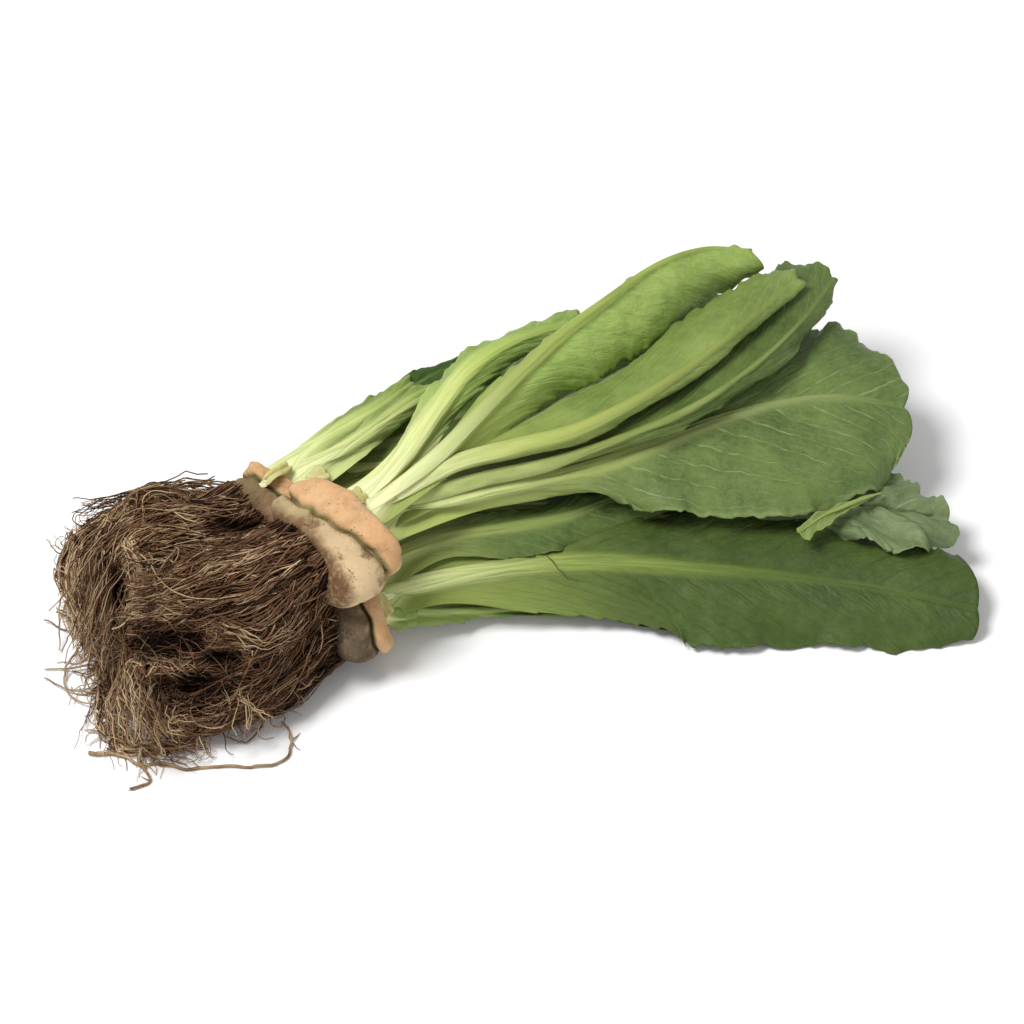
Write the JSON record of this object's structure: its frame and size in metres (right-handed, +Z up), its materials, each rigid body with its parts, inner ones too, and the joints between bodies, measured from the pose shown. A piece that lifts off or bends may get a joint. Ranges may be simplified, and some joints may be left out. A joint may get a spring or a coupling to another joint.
{
  "type": "living romaine lettuce",
  "caption": "Young living romaine plants lying on their side: ribbed leaves fan out from stems held in soft foam rings, above one matted mass of brown roots.",
  "frame": {"origin": "centre of the footprint box, on the surface that the bunch lies on", "axes": "+Z up; +X runs from the roots to the leaf tips; +Y away from the front, towards the back plant"},
  "size_m": [0.2976, 0.1936, 0.0735],
  "materials": {
    "leaf": "waxy green leaf with paler ribs",
    "foam": "damp open-cell foam, stained by soil and algae",
    "root": "matted brown root fibre"
  },
  "bodies": {
    "root": {"head_back": "leaf", "head_front": "leaf", "head_low": "leaf", "plug_back": "foam", "plug_front": "foam", "plug_low": "foam", "root_mat": "root"}
  },
  "joints": []
}
